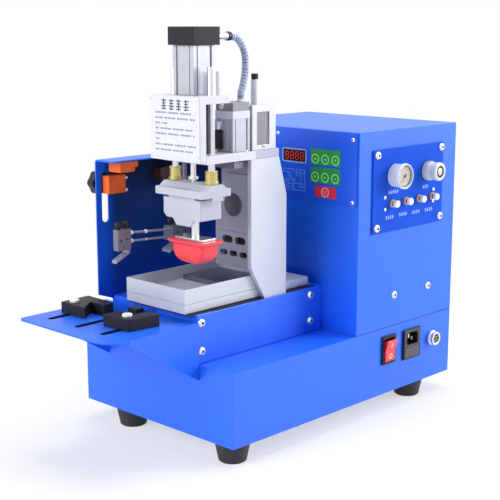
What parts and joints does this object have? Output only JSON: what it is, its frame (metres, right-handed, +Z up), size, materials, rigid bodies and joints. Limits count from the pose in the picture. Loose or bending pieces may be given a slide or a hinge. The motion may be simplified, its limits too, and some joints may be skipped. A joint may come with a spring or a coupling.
{
  "type": "pad printing machine",
  "caption": "Desktop pad printing machine: a sliding column carries an air cylinder, a red pad and an ink scraper over an ink tray and a slotted work table, with a blue control box behind.",
  "frame": {"origin": "centre of the whole machine's box, on the plane that its rubber feet stand on", "axes": "+X to the machine's right as its operator sees it, +Y from the work table towards the control box, +Z up"},
  "size_m": [0.2572, 0.497, 0.4432],
  "materials": {
    "base_shell": "textured blue enamel",
    "bottom_cover": "satin blue panel film",
    "platform": "textured blue enamel",
    "work_table": "textured blue enamel",
    "guard": "textured blue enamel",
    "control_box": "textured blue enamel",
    "control_panel": "satin blue panel film",
    "pneumatic_panel": "textured blue enamel",
    "foot_front_left": "moulded black rubber",
    "foot_front_right": "moulded black rubber",
    "foot_rear_left": "moulded black rubber",
    "foot_rear_right": "moulded black rubber",
    "tray_base": "fine milled",
    "ink_tray": "pale satin coat",
    "steel_plate": "polished",
    "slide_rail": "ground",
    "drive_cylinder": "fine milled",
    "pressure_gauge": "pale satin coat",
    "air_manifold": "turned",
    "switch_bezel": "satin black",
    "power_inlet": "satin black",
    "foot_switch_socket": "ground",
    "control_board": "lacquered circuit board",
    "column_side_plate": "fine milled",
    "column_channel": "fine milled",
    "carriage_plate": "fine milled",
    "arm_plate": "fine milled",
    "head_bracket": "pale satin coat",
    "main_cylinder": "fine milled",
    "cylinder_cap": "satin black",
    "hose": "ribbed blue-grey tube",
    "scraper_cylinder": "fine milled",
    "stop_bracket": "fine milled",
    "guide_rod_left": "ground",
    "guide_rod_right": "ground",
    "piston_rod": "ground",
    "holder_top": "fine milled",
    "holder_body": "pale satin coat",
    "pad_stem": "pale satin coat",
    "printing_pad": "soft red silicone",
    "scraper_frame": "ground",
    "scraper_carrier": "ground",
    "rocker": "moulded red",
    "stop_screw": "ground",
    "slot_block": "satin orange",
    "star_knob": "satin black",
    "left_clamp": "satin black",
    "right_clamp": "satin black",
    "key_1_1": "printed green",
    "key_1_2": "printed green",
    "key_1_3": "printed green",
    "key_2_1": "printed green",
    "key_2_2": "printed green",
    "key_2_3": "printed green",
    "red_key": "moulded red",
    "regulator_knob": "pale satin coat",
    "valve_knob_1": "ground",
    "valve_knob_2": "ground",
    "valve_knob_3": "ground",
    "valve_knob_4": "ground"
  },
  "bodies": {
    "frame": {"base_shell": "base_shell", "bottom_cover": "bottom_cover", "foot_front_left": "foot_front_left", "foot_front_right": "foot_front_right", "foot_rear_left": "foot_rear_left", "foot_rear_right": "foot_rear_right", "platform": "platform", "work_table": "work_table", "guard": "guard", "tray_base": "tray_base", "ink_tray": "ink_tray", "steel_plate": "steel_plate", "slide_rail": "slide_rail", "drive_cylinder": "drive_cylinder", "control_box": "control_box", "control_panel": "control_panel", "pneumatic_panel": "pneumatic_panel", "pressure_gauge": "pressure_gauge", "air_manifold": "air_manifold", "switch_bezel": "switch_bezel", "power_inlet": "power_inlet", "foot_switch_socket": "foot_switch_socket", "control_board": "control_board"},
    "carriage": {"column_side_plate": "column_side_plate", "column_channel": "column_channel", "carriage_plate": "carriage_plate", "arm_plate": "arm_plate", "head_bracket": "head_bracket", "main_cylinder": "main_cylinder", "cylinder_cap": "cylinder_cap", "hose": "hose", "scraper_cylinder": "scraper_cylinder", "stop_bracket": "stop_bracket"},
    "pad_head": {"guide_rod_left": "guide_rod_left", "guide_rod_right": "guide_rod_right", "piston_rod": "piston_rod", "holder_top": "holder_top", "holder_body": "holder_body", "pad_stem": "pad_stem", "printing_pad": "printing_pad"},
    "scraper": {"scraper_frame": "scraper_frame", "scraper_carrier": "scraper_carrier"},
    "rocker": {"rocker": "rocker"},
    "stop_screw": {"stop_screw": "stop_screw"},
    "slot_block": {"slot_block": "slot_block"},
    "star_knob": {"star_knob": "star_knob"},
    "left_clamp": {"left_clamp": "left_clamp"},
    "right_clamp": {"right_clamp": "right_clamp"},
    "regulator_knob": {"regulator_knob": "regulator_knob"},
    "key_1_1": {"key_1_1": "key_1_1"},
    "key_1_2": {"key_1_2": "key_1_2"},
    "key_1_3": {"key_1_3": "key_1_3"},
    "key_2_1": {"key_2_1": "key_2_1"},
    "key_2_2": {"key_2_2": "key_2_2"},
    "key_2_3": {"key_2_3": "key_2_3"},
    "red_key": {"red_key": "red_key"},
    "valve_knob_1": {"valve_knob_1": "valve_knob_1"},
    "valve_knob_2": {"valve_knob_2": "valve_knob_2"},
    "valve_knob_3": {"valve_knob_3": "valve_knob_3"},
    "valve_knob_4": {"valve_knob_4": "valve_knob_4"}
  },
  "joints": [
    {"name": "carriage_slide", "type": "slide", "parent": "frame", "child": "carriage", "axis": [0, 1, 0], "range_m": [-0.08, 0.05]},
    {"name": "pad_lift", "type": "slide", "parent": "carriage", "child": "pad_head", "axis": [0, 0, 1], "range_m": [-0.026, 0]},
    {"name": "scraper_lift", "type": "slide", "parent": "carriage", "child": "scraper", "axis": [0, 0, 1], "range_m": [-0.016, 0]},
    {"name": "rocker_tilt", "type": "hinge", "parent": "frame", "child": "rocker", "pos_m": [0.10675, 0.124, 0.074], "axis": [0, 1, 0], "range_deg": [-16, 0]},
    {"name": "stop_screw_turn", "type": "hinge", "parent": "carriage", "child": "stop_screw", "pos_m": [0.03945, -0.0295, 0.362], "axis": [0, 0, 1], "range_deg": [-180, 180]},
    {"name": "slot_block_slide", "type": "slide", "parent": "frame", "child": "slot_block", "axis": [0, 0, 1], "range_m": [-0.034, 0.003]},
    {"name": "star_knob_turn", "type": "hinge", "parent": "slot_block", "child": "star_knob", "pos_m": [-0.08035, -0.1395, 0.2775], "axis": [1, 0, 0], "range_deg": [-180, 180]},
    {"name": "left_clamp_slide", "type": "slide", "parent": "frame", "child": "left_clamp", "axis": [0, 1, 0], "range_m": [-0.026, 0.02]},
    {"name": "right_clamp_slide", "type": "slide", "parent": "frame", "child": "right_clamp", "axis": [0, 1, 0], "range_m": [-0.026, 0.02]},
    {"name": "regulator_turn", "type": "hinge", "parent": "frame", "child": "regulator_knob", "pos_m": [0.10965, 0.1885, 0.2775], "axis": [1, 0, 0], "range_deg": [-150, 150]},
    {"name": "valve_knob_1_turn", "type": "hinge", "parent": "frame", "child": "valve_knob_1", "pos_m": [0.11385, 0.1229, 0.2463], "axis": [1, 0, 0], "range_deg": [-180, 180]},
    {"name": "valve_knob_2_turn", "type": "hinge", "parent": "frame", "child": "valve_knob_2", "pos_m": [0.11385, 0.1484, 0.2463], "axis": [1, 0, 0], "range_deg": [-180, 180]},
    {"name": "valve_knob_3_turn", "type": "hinge", "parent": "frame", "child": "valve_knob_3", "pos_m": [0.11385, 0.1739, 0.2463], "axis": [1, 0, 0], "range_deg": [-180, 180]},
    {"name": "valve_knob_4_turn", "type": "hinge", "parent": "frame", "child": "valve_knob_4", "pos_m": [0.11385, 0.1994, 0.2463], "axis": [1, 0, 0], "range_deg": [-180, 180]},
    {"name": "key_1_1_press", "type": "slide", "parent": "frame", "child": "key_1_1", "axis": [0, 1, 0], "range_m": [0, 0.0006], "stiffness_N_per_m": 300},
    {"name": "key_1_2_press", "type": "slide", "parent": "frame", "child": "key_1_2", "axis": [0, 1, 0], "range_m": [0, 0.0006], "stiffness_N_per_m": 300},
    {"name": "key_1_3_press", "type": "slide", "parent": "frame", "child": "key_1_3", "axis": [0, 1, 0], "range_m": [0, 0.0006], "stiffness_N_per_m": 300},
    {"name": "key_2_1_press", "type": "slide", "parent": "frame", "child": "key_2_1", "axis": [0, 1, 0], "range_m": [0, 0.0006], "stiffness_N_per_m": 300},
    {"name": "key_2_2_press", "type": "slide", "parent": "frame", "child": "key_2_2", "axis": [0, 1, 0], "range_m": [0, 0.0006], "stiffness_N_per_m": 300},
    {"name": "key_2_3_press", "type": "slide", "parent": "frame", "child": "key_2_3", "axis": [0, 1, 0], "range_m": [0, 0.0006], "stiffness_N_per_m": 300},
    {"name": "red_key_press", "type": "slide", "parent": "frame", "child": "red_key", "axis": [0, 1, 0], "range_m": [0, 0.0006], "stiffness_N_per_m": 300}
  ]
}
